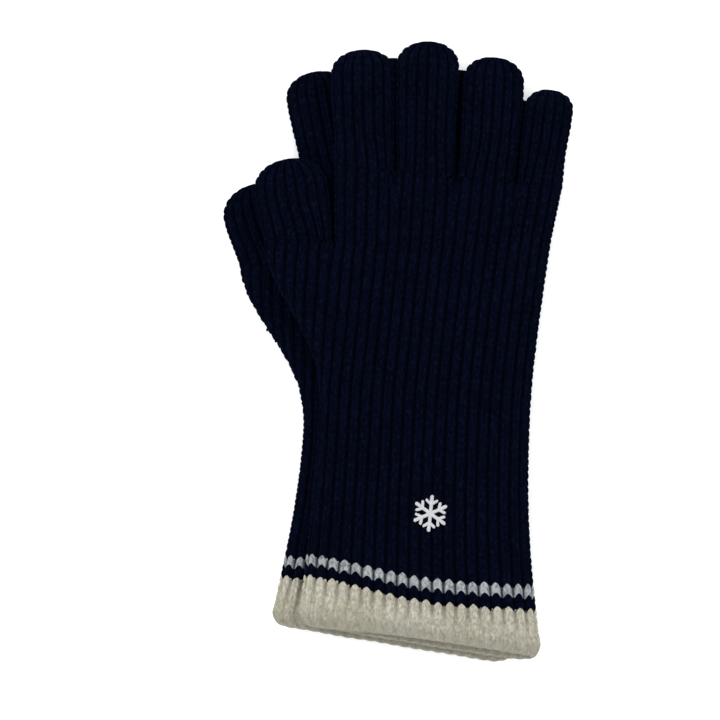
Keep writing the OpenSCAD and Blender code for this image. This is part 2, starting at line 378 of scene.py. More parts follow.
def over_surface(grid):
    """Outward normals of a ring grid: rows x columns x 3, closed round its columns."""
    around = np.roll(grid, -1, axis=1) - np.roll(grid, 1, axis=1)
    along = np.gradient(grid, axis=0)
    normal = np.cross(along, around)
    length = np.linalg.norm(normal, axis=2, keepdims=True)
    return normal / np.maximum(length, 1e-9)


def ring_faces(rows, columns, base=0, turned=False):
    """Four-sided faces of a grid that is closed round its columns."""
    r, c = np.meshgrid(np.arange(rows - 1), np.arange(columns), indexing="ij")
    n = (c + 1) % columns
    a, b = r * columns + c, r * columns + n
    d, e = (r + 1) * columns + c, (r + 1) * columns + n
    faces = np.stack([a, b, e, d] if not turned else [a, d, e, b], axis=-1)
    return faces.reshape(-1, 4) + base


def new_mesh(name, points, quads, fans, uv, creases=()):
    """A mesh object from points in mm, four-sided faces, triangles, and (rib, course) per point.

    creases holds the runs of points whose ring of edges is a sharp one.
    """
    mesh = bpy.data.meshes.new(name)
    mesh.from_pydata((points * MM).tolist(), [], quads.tolist() + fans.tolist(), shade_flat=False)
    mesh.validate()
    layer = mesh.uv_layers.new(name="knit")
    values = uv[np.concatenate([quads.ravel(), fans.ravel()])]
    faces = values[:quads.size].reshape(-1, 4, 2)
    top = faces[:, :, 0].max(axis=1, keepdims=True)
    around = 2 * round(uv[:, 0].max() / 2 - EDGE)
    faces[:, :, 0] += np.where(top - faces[:, :, 0] > around / 2, around, 0)
    layer.data.foreach_set("uv", (values / UV_SPAN).astype(np.float32).ravel())
    ring = np.full(len(points), -1)
    for number, (start, stop) in enumerate(creases):
        ring[start:stop] = number
    ends = np.empty(len(mesh.edges) * 2, dtype=np.int32)
    mesh.edges.foreach_get("vertices", ends)
    ends = ring[ends.reshape(-1, 2)]
    mesh.edges.foreach_set("use_edge_sharp", (ends[:, 0] >= 0) & (ends[:, 0] == ends[:, 1]))
    obj = bpy.data.objects.new(name, mesh)
    bpy.context.scene.collection.objects.link(obj)
    return obj


# ---- knitting a tube

DRAPE = {}


def sag(x, y):
    """How far the upper glove sinks at a place in the plan, in mm."""
    drop, step = DRAPE["drop"], DRAPE["step"]
    u = np.clip((x - DRAPE["x0"]) / step, 0, drop.shape[0] - 1.001)
    v = np.clip((y - DRAPE["y0"]) / step, 0, drop.shape[1] - 1.001)
    i, j = u.astype(int), v.astype(int)
    fu, fv = u - i, v - j
    return (drop[i, j] * (1 - fu) * (1 - fv) + drop[i + 1, j] * fu * (1 - fv)
            + drop[i, j + 1] * (1 - fu) * fv + drop[i + 1, j + 1] * fu * fv)


def swept_places(nodes):
    """Each node's surface, with the ways back from the places that its joint swings it to."""
    graph = bpy.context.evaluated_depsgraph_get()
    swings = {joint["child"]: joint for joint in frame["joints"] if joint["type"] == "hinge"}
    places = []
    for name in nodes:
        tree, joint = BVHTree.FromObject(frame["nodes"][name], graph), swings.get(name)
        pivot = Vector(joint["pos_m"]) if joint else Vector()
        for angle in np.radians(np.linspace(*joint["range_deg"], 4)) if joint else (0.0,):
            back = Matrix.Rotation(-angle * (joint["axis"][2] if joint else 0), 4, "Z")
            places.append((tree, Matrix.Translation(pivot) @ back @ Matrix.Translation(-pivot)))
    return places


def settle_drape(droop, step=2.0, reach=26.0, margin=40.0):
    """Works out where the upper glove sinks: beside the lower glove and the sweep of its digits.

    The fabric bridges out from the lower glove, sloping down more the farther it reaches.
    """
    slope, curl = 0.42, 0.004
    nodes = [name for name in frame["nodes"] if name.startswith("left_")]
    places = swept_places(nodes)
    low = np.min([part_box(name)[0] for name in nodes], axis=0) / MM - margin
    high = np.max([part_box(name)[1] for name in nodes], axis=0) / MM + margin
    top = np.zeros([int((high[k] - low[k]) / step) + 1 for k in (0, 1)])
    for i, j in np.ndindex(top.shape):
        start = Vector(((low[0] + i * step) * MM, (low[1] + j * step) * MM, 1.0))
        hits = (tree.ray_cast(back @ start, Vector((0, 0, -1)))[0] for tree, back in places)
        top[i, j] = max([hit.z / MM for hit in hits if hit], default=0)
    cover = top.copy()
    cells = int(reach / step)
    for a, b in np.ndindex(2 * cells + 1, 2 * cells + 1):
        d = math.hypot(a - cells, b - cells) * step
        if 0 < d <= reach:
            moved = np.roll(top, (a - cells, b - cells), axis=(0, 1))
            cover = np.maximum(cover, moved - slope * d - curl * d * d)
    full = 2 * HALF
    drop = np.clip(full - cover, 0, droop)
    for _ in range(2):
        shifts = ((0, 0), (1, 0), (-1, 0), (0, 1), (0, -1))
        near = [np.roll(drop, shift, axis=(0, 1)) for shift in shifts]
        drop = sum(near) / len(near)
    drop = np.minimum(drop, np.clip(full - top, 0, full))
    DRAPE.update(x0=low[0], y0=low[1], step=step, drop=drop)


def close_ring(top, bottom):
    """Joins the upper and lower half of each row into one ring."""
    return np.concatenate([top, bottom[:, -2:0:-1]], axis=1)


def row_maps(widths, heights, rounding, columns, ribs_of):
    """For each row the place across (0 to 1) and the rib number of every column."""
    place = np.empty((len(widths), columns + 1))
    ribs = np.empty_like(place)
    t = 0.5 - 0.5 * np.cos(np.linspace(0, math.pi, 500))
    for row, (width, height, rounded) in enumerate(zip(widths, heights, rounding)):
        c = t * width
        u = arc(c, width, height, rounded)
        wanted, ribs[row] = ribs_of(row, u[-1], columns, c, u)
        place[row] = np.interp(wanted, u, c) / width
    place[:, 0], place[:, -1] = 0, 1
    return place, ribs


def inner_skin(base, picks, wall):
    """The plain inside of a tube at the picked rows, one wall in from the outside."""
    far = base.shape[1] // 2
    left, right = base[picks, :1, :2], base[picks, far:far + 1, :2]
    inner, middle = base[picks].copy(), (left + right) / 2
    width = np.linalg.norm(base[picks, :1] - base[picks, far:far + 1], axis=2, keepdims=True)
    height = np.abs(inner[..., 2]).max(axis=1, keepdims=True)
    inner[..., :2] = middle + (inner[..., :2] - middle) * np.maximum(1 - 2 * wall / width, 0.1)
    inner[..., 2] *= np.maximum(1 - wall / np.maximum(height, 1e-3), 0.12)
    return inner


def rolled_lip(outer, inner, steps=6):
    """Rows that roll round the mouth, from the inner skin's first row to the outer one's."""
    a, b = outer[0], inner[0]
    ahead = outer[0] - outer[ROWS]
    ahead /= np.linalg.norm(ahead, axis=1, keepdims=True)
    reach = np.linalg.norm(a - b, axis=1, keepdims=True) / 2
    return np.array([a + (b - a) * (1 - math.cos(t)) / 2 + ahead * reach * math.sin(t)
                     for t in np.linspace(math.pi, 0, steps + 2)[1:-1]])


def bridge(first, second):
    """Four-sided faces between two closed rings of point numbers."""
    return np.stack([first, np.roll(first, -1), np.roll(second, -1), second], axis=-1)


def knit(name, faces, ribs, count, q, amount, glove, settings, tuck=0, closed=False, mouth=False):
    """Turns two grids into a knitted tube: stitches outside, a plain skin inside, closed ends.

    faces holds the upper and the lower grid, each with the plan and the height over the glove's
    middle, in mm, of rows x columns points. A face has count ribs, and its rows have courses q.
    """
    base = close_ring(*faces)
    ribs = close_ring(ribs, 2 * (EDGE + count) - ribs)
    rows, columns = base.shape[:2]
    courses = np.repeat(q[:, None], columns, axis=1)
    relief, wall = settings.relief / MM, settings.wall / MM
    normal = over_surface(base)
    if ((base - base.mean(axis=1, keepdims=True)) * normal).sum() < 0:
        normal = -normal
    height = stitch_height(ribs, courses)
    height += 0.05 * waves(base[..., 0], base[..., 1] + 3 * base[..., 2], 5, 3.1)
    lift = (np.minimum(height, 1.05) - 1) * relief * amount[:, None]
    lift[:tuck] = -relief - TUCK_DEPTH
    outer = base + normal * lift[..., None]

    picks = list(range(0, rows - 1, 2 if mouth else 2 * ROWS)) + [rows - 1]
    inner = inner_skin(base, picks, wall)
    ring = np.arange(columns)
    grid_uv = np.stack([ribs, courses], axis=-1)
    points, uv, quads = [outer], [grid_uv], [ring_faces(rows, columns)]
    first_inner = rows * columns
    if mouth:
        inner -= normal[picks] * (0.6 * lift[picks])[..., None]
        lip = rolled_lip(outer, inner)
        points.append(lip)
        uv += [grid_uv[:1]] * len(lip)
        first_inner += len(lip) * columns
        chain = [ring + first_inner, *(ring + (rows + k) * columns for k in range(len(lip))), ring]
        quads += [bridge(a, b) for a, b in zip(chain, chain[1:])]
    else:
        quads.append(bridge(ring + first_inner, ring))
    points.append(inner)
    uv.append(grid_uv[picks])
    quads.append(ring_faces(len(picks), columns, first_inner, turned=True))
    last_outer, last_inner = (rows - 1) * columns, first_inner + (len(picks) - 1) * columns
    fans = np.zeros((0, 3), dtype=int)
    if closed:
        pole = last_inner + columns
        points.append(np.stack([outer[-1].mean(axis=0), inner[-1].mean(axis=0)]))
        uv.append(np.array([[0, courses[-1, 0]]] * 2))
        after = np.roll(ring, -1)
        fans = np.concatenate([
            np.stack([ring + last_outer, after + last_outer, np.full(columns, pole)], axis=-1),
            np.stack([after + last_inner, ring + last_inner, np.full(columns, pole + 1)], axis=-1)])
    else:
        quads.append(bridge(ring + last_outer, ring + last_inner))
    points = np.concatenate([part.reshape(-1, 3) for part in points])
    uv = np.concatenate([part.reshape(-1, 2) for part in uv])
    quads = np.concatenate(quads)
    a, b, c, d = (points[quads[:, k]] for k in range(4))
    if np.einsum("ij,ij->i", a, np.cross(b, c) + np.cross(c, d)).sum() < 0:
        quads, fans = quads[:, ::-1], fans[:, ::-1]
    place_in_pair(points, glove)
    starts = [] if mouth else [tuck * columns, first_inner]
    starts += [] if closed else [last_outer, last_inner]
    return new_mesh(name, points, quads, fans, uv, [(n, n + columns) for n in starts])


def place_in_pair(points, glove):
    """Raises a glove's points to where it lies, with the soft unevenness of a laid glove."""
    if not DRAPE:
        settle_drape(bpy.context.scene.knit.droop / MM)
    x, y = points[:, 0].copy(), points[:, 1].copy()
    swing, sinking, seed = SETTLE[glove.side]
    offset = swing * waves(x, y, seed, 46) - sinking
    if glove.side == "left":
        offset *= np.clip(points[:, 2] / HALF * 0.5 + 0.5, 0, 1)
        points[:, 2] = np.maximum(points[:, 2], -HALF)
    else:
        offset -= sag(x, y)
    points[:, 2] += glove.sleeve.z + offset


def surface(tube, m, place, height, sign, arch=0.0):
    """Points of a tube's upper (1) or lower (-1) face, with its rows arched up at its sides.

    The arch is full on the thumb's side; it fades at the mouth and further up the sleeve.
    """
    rise = smooth(1 - place / ARCH_ACROSS)
    rise += ARCH_SIDE * smooth((place - ARCH_ACROSS) / (1 - ARCH_ACROSS))
    m = m + arch * rise * smooth(m / ARCH_FOOT) * smooth((ARCH_TOP - m) / ARCH_FADE)
    left, right = tube.edge("left", m), tube.edge("right", m)
    plan = left + (right - left) * place[..., None]
    return np.concatenate([plan, (sign * height)[..., None]], axis=-1)


def hand_height(glove, part, m, place, settings):
    """Half thickness of the sleeve or the palm, with the grooves that run in from the crotches."""
    tube = glove.palm if part == "palm" else glove.sleeve
    width = tube.width(m)
    c = place * width
    plain = bulge(c, width, HALF, HAND_ROUND)
    if part == "palm":
        at_end = place * tube.width(np.array(tube.length))
        lobes = [(low, high, (high - low) / 2) for low, high in glove.fingers]
    else:
        at_end = glove.palm_lobe[1] - (width - c)
        low, high = glove.thumb_lobe
        lobes = [(low, high, (high - low) / 2), (*glove.palm_lobe, HAND_ROUND)]
        lips = MOUTH_FLAT + MOUTH_EDGE * np.abs(2 * place - 1) ** 4 + MOUTH_WAVE * waves(c, m, 3, 23)
        plain *= 1 - smooth(1 - m / (glove.hem_length * 1.2)) * (1 - lips)
    grooved = np.max([bulge(at_end - low, high - low, HALF, rounding)
                      for low, high, rounding in lobes], axis=0)
    fade = smooth(1 - (tube.length - m) / (settings.groove / MM)) ** 1.3
    return plain + (grooved - plain) * fade


def hand_ribs(glove, part, m):
    """A function for row_maps: how ribs lie across a row of the sleeve or the palm."""
    def cuff(row, total, columns, c, u):
        wanted = np.linspace(0, total, columns + 1)
        return wanted, EDGE + wanted / total * HAND_RIBS

    def heel(row, total, columns, c, u, kept=2.0, widening=0.04):
        """Ribs run up into the palm, and more of them rise out of the thumb's side."""
        t = smooth((m[row] - glove.wrist) / (glove.crotch - glove.wrist))
        widths = glove.sleeve.width(np.array(glove.wrist)), np.ptp(glove.palm_lobe)
        low, high = (face_length(width) / HAND_RIBS for width in widths)
        wanted = np.linspace(0, total, columns + 1)
        ribs = EDGE + HAND_RIBS - (total - wanted) / (low + (high - low) * t)
        return wanted, np.where(ribs < kept, kept - (kept - ribs) / (1 + widening * t), ribs)

    return heel if part == "heel" else cuff


def face_length(width):
    """Arc length over the whole top of a tube as thick as the hand."""
    c = (0.5 - 0.5 * np.cos(np.linspace(0, math.pi, 400))) * width
    return arc(c, width, HALF, HAND_ROUND)[-1]


def knit_hand_piece(glove, name, settings):
    """One of the pieces from the hem to the knuckles."""
    is_hem, is_palm = name == "hem", name == "palm"
    part = name if name in ("heel", "palm") else "cuff"
    tube = glove.palm if is_palm else glove.sleeve
    low, high = (0, tube.length) if is_palm else glove.stops[name]
    starts = 0.0 if part == "cuff" else 0.5
    ends = 0.5 if name in ("gauntlet", "heel", "palm") else 0.0
    count = max(1, round((high - low) / (settings.course / MM) + starts - ends))
    q = np.arange(round(starts * ROWS), round((count + ends) * ROWS) + 1) / ROWS
    m = low + (high - low) * (q - starts) / (count + ends - starts)
    tuck = 4 if is_palm else 0
    back = np.linspace(-1, 0, tuck, endpoint=False)
    q, m = np.concatenate([q[0] + back, q]), np.concatenate([m[0] + back * settings.course / MM, m])
    columns = HEEL_COLUMNS if name == "heel" else HAND_RIBS * COLUMNS
    widths = tube.width(m)
    place, ribs = row_maps(widths, [HALF] * len(m), [HAND_ROUND] * len(m), columns,
                           hand_ribs(glove, part, m))
    pitch = HEEL_PITCH if name == "heel" else (widths + TURNING)[:, None] / HAND_RIBS
    drop = stitch_drop(ribs, settings.slant, pitch)
    drop += 0.28 * waves(ribs * HEEL_PITCH, m[:, None], 21, 6)
    amount = np.ones(len(m))
    lip = 0
    if is_hem:
        scallop = 0.18 * np.cos(2 * math.pi * ribs)
        drop = drop * smooth(m / 6)[:, None] + scallop * smooth(1 - m / 5)[:, None]
        lip = LIP / 2 * (1 - np.clip(m / glove.hem_length, 0, 1))[:, None]
        lip = lip * (0.1 + 1.25 * smooth((place - 0.02) / 0.4) - 0.5 * smooth((place - 0.82) / 0.18))
        lip *= hand_height(glove, "sleeve", m[:, None] - drop, place, settings) / HALF
        amount = WEAK_RIBS + (1 - WEAK_RIBS) * smooth((m - SOFT_EDGE[0]) / SOFT_EDGE[1])
    palm_side = 1 if glove.side == "right" else -1
    halves = []
    for sign in (1, -1):
        along = m[:, None] - drop + palm_side * sign * lip
        height = hand_height(glove, part, along, place, settings)
        arch = 0 if is_palm else settings.arch / MM
        halves.append(surface(tube, along, place, height, sign, arch))
    return knit(f"{glove.side}_{name}_knit", halves, ribs, HAND_RIBS, q, amount, glove, settings,
                tuck=tuck, mouth=is_hem)


def rib_anchors(glove, name, columns=600):
    """The numbers of the hand's ribs that meet a digit at two places across its root."""
    digit = glove.digits[name]
    if name == "thumb":
        start, direction, width = glove.crotch_start, glove.crotch_dir, float(glove.palm_lobe[1])
        mapping = hand_ribs(glove, "heel", np.array([glove.crotch]))
    else:
        start, direction = glove.knuckle_start, glove.knuckle_dir
        width = float(glove.palm.width(np.array(glove.palm.length)))
        mapping = hand_ribs(glove, "cuff", None)
    c = (0.5 - 0.5 * np.cos(np.linspace(0, math.pi, 900))) * width
    u = arc(c, width, HALF, HAND_ROUND)
    wanted, hand = mapping(0, u[-1], columns, c, u)
    root = digit["root_right"] - digit["root_left"]
    at = (digit["root_left"] - start) @ direction + ANCHORS * np.linalg.norm(root)
    ribs = np.interp(np.interp(at, c, u), wanted, hand)
    return ribs - round(ribs.mean() - EDGE - digit["ribs"] / 2)


def knit_digit(glove, name, settings, tuck=5, rooted=18):
    """A finger or the thumb, from under its crotch to its tip.

    Its ribs carry on those of the hand at its root, and lie evenly once they are rooted past it.
    """
    digit = glove.digits[name]
    count, length, stations, reach = (digit[key] for key in ("ribs", "length", "stations", "reach"))
    step = settings.course / MM / ROWS
    full = np.ptp([np.interp(0.6 * length, stations, reach[side]) for side in ("left", "right")]) / 2
    tip = full * TIP_SHARE
    straight = length - tip
    swell = 0.0 if name == "thumb" else SWELL
    theta = np.linspace(0, math.pi / 2 * 0.985, int(tip * 1.25 / step) + 1)[1:]
    v = np.concatenate([np.linspace(-2.6, 0, tuck, endpoint=False), np.arange(0, straight, step),
                        straight + tip * np.sin(theta)])
    q = EDGE + np.concatenate([np.linspace(-1, 0, tuck, endpoint=False),
                               np.arange(len(v) - tuck) / ROWS])

    def tip_shape(u, reach, power):
        s = np.clip((length - u) / reach, 0, 1)
        return np.maximum(1 - (1 - s) ** power, 0) ** (1 / power)

    def edge(side, u):
        """Points on the left or the right edge at the distances u from the root."""
        root_v = (digit[f"root_{side}"] - digit["root"]) @ digit["axis"]
        level = np.where(u < straight, root_v + (straight - root_v) * u / straight, u)
        at = np.interp(np.minimum(level, straight), stations, reach[side])
        at = at * tip_shape(u, tip, TIP_ROUND) * (1 + swell * smooth((u / length - 0.2) / 0.5))
        return digit["root"] + level[..., None] * digit["axis"] + at[..., None] * digit["across"]

    def half_width(u):
        return np.linalg.norm(edge("right", u) - edge("left", u), axis=-1) / 2

    def half_height(u):
        return HALF * tip_shape(u, tip * TIP_LOW, TIP_CROWN)

    hand_rib = rib_anchors(glove, name)

    def ribs_of(row, total, columns, c, u):
        ribs = EDGE + np.linspace(0, count, columns + 1)
        even = (ribs - EDGE) / count * total
        anchors = np.interp(ANCHORS * c[-1], c, u)
        at_root = np.interp(ribs, [EDGE, *hand_rib, EDGE + count], [0, *anchors, total])
        return at_root + (even - at_root) * smooth(v[row] / rooted), ribs

    half = half_width(v)
    place, ribs = row_maps(2 * half, np.maximum(half_height(v), 0.05), half, count * COLUMNS, ribs_of)
    drop = stitch_drop(ribs, settings.slant, ((2 * half + TURNING) / count)[:, None])
    drop *= np.clip(half / full, 0, 1)[:, None] ** 1.5 * smooth((length - v) / tip / 0.8)[:, None]
    unevenness = 0.12 * waves(ribs * 4.2, v[:, None], 31 + len(name), 9)
    along = v[:, None] - drop - unevenness * smooth((length - v) / 9)[:, None]
    bend = 0.3 * np.sin(along / length * 3.3 + 1.7 * len(name)) * smooth(along / 15)
    left, right = edge("left", along), edge("right", along)
    plan = left + (right - left) * place[..., None] + bend[..., None] * digit["across"]
    a = half_width(along)
    height = bulge(place * 2 * a, 2 * a, half_height(along), np.maximum(a, 1e-6))
    top = np.concatenate([plan, height[..., None]], axis=-1)
    amount = np.clip(half / full * 1.25, WEAK_RIBS, 1)
    return knit(f"{glove.side}_{name}_knit", (top, top * [1, 1, -1]), ribs, count, q, amount, glove,
                settings, tuck=tuck, closed=True)


GLOVES = {}


def glove(side):
    """The shared facts of one glove, read once."""
    if side not in GLOVES:
        GLOVES[side] = Glove(side)
    return GLOVES[side]


# ---- embroidery

def satin_bar(start, end, width, height, thread=0.42, around=14):
    """A closed bar of satin stitches between two plan points: points, faces, fans and uv."""
    run = end - start
    length = np.linalg.norm(run)
    rows = int(length / 0.1)
    s = np.linspace(0, 1, rows + 1)
    across = np.array([-run[1], run[0]]) / length
    ends = np.clip(np.minimum(s, 1 - s) * length / (width / 2), 0.02, 1)
    size = np.sqrt(1 - (1 - ends) ** 2)[:, None]
    angle = np.linspace(0, 2 * math.pi, around, endpoint=False)
    phase = (s[:, None] * length + 0.35 * width * np.cos(angle)) / thread
    ridge = 1 - 0.16 * (1 - np.abs(np.sin(math.pi * phase)))
    c = np.cos(angle) * width / 2 * size * (0.93 + 0.07 * ridge)
    z = np.sin(angle)
    z = np.where(z > 0, z * height * size * ridge, z * 0.25)
    plan = start + s[:, None, None] * run + c[..., None] * across
    points = np.concatenate([plan, z[..., None]], axis=-1).reshape(-1, 3)
    points = np.concatenate([points, [[*start, 0.0], [*end, 0.0]]])
    ring, last = np.arange(around), rows * around
    after, pole = np.roll(ring, -1), len(points) - 2
    fans = np.concatenate([np.stack([after, ring, np.full(around, pole)], axis=-1),
                           np.stack([ring + last, after + last, np.full(around, pole + 1)], axis=-1)])
    uv = np.stack(np.broadcast_arrays(angle / 6, (s * length / thread)[:, None]), axis=-1)
    uv = np.concatenate([uv.reshape(-1, 2), np.zeros((2, 2))])
    return points, ring_faces(rows + 1, around), fans, uv


def embroider_flake(side):
    """The snowflake on the back of a cuff: six arms of satin stitch, each with two barbs."""
    low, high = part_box(f"{side}_emblem")
    centre = np.array([(low[0] + high[0]) / 2, (low[1] + high[1]) / 2]) / MM
    arm = (high[1] - low[1]) / 2 / MM
    swing, lean = math.atan2(AXIS[side][0], AXIS[side][1]), math.radians(52)
    bars = []
    for turn in swing + np.arange(6) * math.pi / 3:
        out = np.array([math.sin(turn), math.cos(turn)])
        bars.append((centre - out * 0.2, centre + out * arm * 0.98, *ARM_THREAD))
        root = centre + out * arm * 0.48
        for barb in (turn - lean, turn + lean):
            tip = root + np.array([math.sin(barb), math.cos(barb)]) * arm * 0.42
            bars.append((root, tip, *BARB_THREAD))
    points, quads, fans, uv = map(list, zip(*(satin_bar(*bar) for bar in bars)))
    firsts = np.cumsum([0] + [len(part) for part in points])
    quads = np.concatenate([part + first for part, first in zip(quads, firsts)])
    fans = np.concatenate([part + first for part, first in zip(fans, firsts)])
    points = np.concatenate(points)
    if side == "right":
        points[:, 2] += HALF - 0.45
    else:
        points[:, 2] = -HALF + 0.72 - points[:, 2]
        quads, fans = quads[:, ::-1], fans[:, ::-1]
    place_in_pair(points, glove(side))
    return new_mesh(f"{side}_emblem_stitched", points, quads, fans, np.concatenate(uv))


# ---- yarns

def new_group(name, inputs, outputs):
    """An empty node group with these number inputs and outputs."""
    tree = bpy.data.node_groups.new(name, "ShaderNodeTree")
    for label, value in inputs.items():
        socket = tree.interface.new_socket(label, in_out="INPUT", socket_type="NodeSocketFloat")
        socket.default_value = value
    for label in outputs:
        tree.interface.new_socket(label, in_out="OUTPUT", socket_type="NodeSocketFloat")
    return tree, tree.nodes.new("NodeGroupInput"), tree.nodes.new("NodeGroupOutput")


def wire(tree, kind, values, **settings):
    """A node whose inputs are set or linked by name or number."""
    node = tree.nodes.new(kind)
    for key, value in settings.items():
        setattr(node, key, value)
    for key, value in values.items():
        if isinstance(value, bpy.types.NodeSocket):
            tree.links.new(value, node.inputs[key])
        else:
            node.inputs[key].default_value = value
    return node


def maths(tree, operation, a, b=0.0, c=0.0, clamp=False):
    """The result of one sum."""
    return wire(tree, "ShaderNodeMath", {0: a, 1: b, 2: c},
                operation=operation, use_clamp=clamp).outputs[0]


def ramp(tree, value, low, high, out_low=0.0, out_high=1.0):
    """An eased step from out_low at low to out_high at high."""
    node = wire(tree, "ShaderNodeMapRange", {0: value, 1: low, 2: high, 3: out_low, 4: out_high},
                interpolation_type="SMOOTHSTEP")
    return node.outputs[0]


def stitch_group():
    """Masks that follow the stitches: depth in a valley, where the yarns paint shade, which course, and the twist
    of the plies.
    """
    if "knit stitches" in bpy.data.node_groups:
        return bpy.data.node_groups["knit stitches"]
    tree, _, out = new_group("knit stitches", {}, ("Valley", "Course", "Ply"))
    place = wire(tree, "ShaderNodeUVMap", {}, uv_map="knit")
    split = wire(tree, "ShaderNodeSeparateXYZ", {0: place.outputs[0]})
    rib, course = (maths(tree, "MULTIPLY", split.outputs[k], UV_SPAN) for k in (0, 1))
    x = maths(tree, "ABSOLUTE", maths(tree, "MULTIPLY_ADD", maths(tree, "FRACT", rib), 2, -1))
    turns = maths(tree, "MULTIPLY_ADD", course, 3, maths(tree, "MULTIPLY", x, 2.4))
    twist = maths(tree, "SINE", maths(tree, "MULTIPLY", turns, 2 * math.pi))
    tree.links.new(ramp(tree, x, 0.55, 0.97), out.inputs["Valley"])
    tree.links.new(course, out.inputs["Course"])
    tree.links.new(maths(tree, "MULTIPLY_ADD", twist, 0.5, 0.5), out.inputs["Ply"])
    return tree


def fuzz_group():
    """Stray fibres: a fine height, bright flecks, partly painted glints of fibres catching the light, and slow
    drifts of tone.
    """
    if "yarn fuzz" in bpy.data.node_groups:
        return bpy.data.node_groups["yarn fuzz"]
    tree, given, out = new_group("yarn fuzz", {"Scale": 1.0}, ("Height", "Fleck", "Drift"))
    place = wire(tree, "ShaderNodeTexCoord", {}).outputs["Object"]
    fibres = wire(tree, "ShaderNodeMapping", {0: place, 3: (1.0, 0.55, 1.0)}).outputs[0]
    noises = {}
    for label, vector, scale, detail in (("Height", fibres, 1500, 3), ("Fleck", fibres, 950, 2),
                                         ("Drift", place, 90, 2)):
        size = maths(tree, "MULTIPLY", given.outputs["Scale"], scale)
        noises[label] = wire(tree, "ShaderNodeTexNoise",
                             {"Vector": vector, "Scale": size, "Detail": detail}).outputs[0]
    noises["Fleck"] = ramp(tree, noises["Fleck"], 0.42, 0.78)
    for label, noise in noises.items():
        tree.links.new(noise, out.inputs[label])
    return tree


def mixed(tree, factor, a, b):
    """One colour towards another by a mask."""
    a, b = (value if isinstance(value, bpy.types.NodeSocket) else (*value, 1.0) for value in (a, b))
    return wire(tree, "ShaderNodeMix", {0: factor, 6: a, 7: b}, data_type="RGBA").outputs[2]


def new_material(name):
    """A material with nodes: itself, its node tree and its shader."""
    material = bpy.data.materials.new(name)
    material.use_nodes = True
    return material, material.node_tree, material.node_tree.nodes["Principled BSDF"]


def knit_yarn(name, base, shade, fleck, drift, valley=0.8, fleck_share=0.5, fades=False,
              sheen=0.0, sheen_tint=(1, 1, 1), gloss=0.06, relief=0.35, pile=0.0, fuzz_size=1.0):
    """A knitted yarn: base colour, a painted shade colour for the rib valleys, the low fuzz and a hem's rolled
    mouth, its bright flecks of stray fibres, partly painted glints, and its drift.
    """
    if name in bpy.data.materials:
        return bpy.data.materials[name]
    material, tree, shader = new_material(name)
    stitches = wire(tree, "ShaderNodeGroup", {}, node_tree=stitch_group()).outputs
    fuzz = wire(tree, "ShaderNodeGroup", {}, node_tree=fuzz_group())
    fuzz.inputs["Scale"].default_value = 1 / fuzz_size
    fuzz = fuzz.outputs
    # Painted shade down in the rib valleys, set by the valley mask.
    depth = maths(tree, "MULTIPLY", stitches["Valley"], valley)
    # Painted shade on a hem: the valleys' painted shade weakens towards the mouth, where the ribs flatten, and a
    # painted shade darkens the courses near the rolled mouth.
    if fades:
        near_mouth = ramp(tree, stitches["Course"], 2.0, 6.0, 0.12, 1.0)
        rolled_mouth_shade = ramp(tree, stitches["Course"], 0.0, 4.4, 0.62, 0.0)
        depth = maths(tree, "MULTIPLY_ADD", depth, near_mouth, rolled_mouth_shade, clamp=True)
    colour = mixed(tree, ramp(tree, fuzz["Drift"], 0.3, 0.7), base, drift)
    # Bright flecks of stray fibres: partly lighter fibres, partly a painted glint of fibres catching the light.
    colour = mixed(tree, maths(tree, "MULTIPLY", fuzz["Fleck"], fleck_share), colour, fleck)
    # Painted shade in the low spots of the fine fuzz height.
    colour = mixed(tree, ramp(tree, fuzz["Height"], 0.55, 0.38, 0.0, pile), colour, shade)
    # The base colour is mixed towards the painted shade colour in the valleys.
    tree.links.new(mixed(tree, depth, colour, shade), shader.inputs["Base Color"])
    constants = {"Specular IOR Level": gloss, "Sheen Weight": sheen, "Sheen Roughness": 0.6,
                 "Sheen Tint": (*sheen_tint, 1.0)}
    for socket, value in constants.items():
        shader.inputs[socket].default_value = value
    tree.links.new(ramp(tree, fuzz["Fleck"], 0.0, 1.0, 0.96, 0.8), shader.inputs["Roughness"])
    height = maths(tree, "MULTIPLY_ADD", stitches["Ply"], 0.45, fuzz["Height"])
    bump = wire(tree, "ShaderNodeBump", {"Height": height, "Strength": relief, "Distance": 0.35 * MM})
    tree.links.new(bump.outputs[0], shader.inputs["Normal"])
    return material


def tinted(colour, *factors):
    """A colour brightened or darkened, by one factor or by one for each channel."""
    factors = factors * 3 if len(factors) == 1 else factors
    return tuple(min(1.0, channel * factor) for channel, factor in zip(colour, factors))


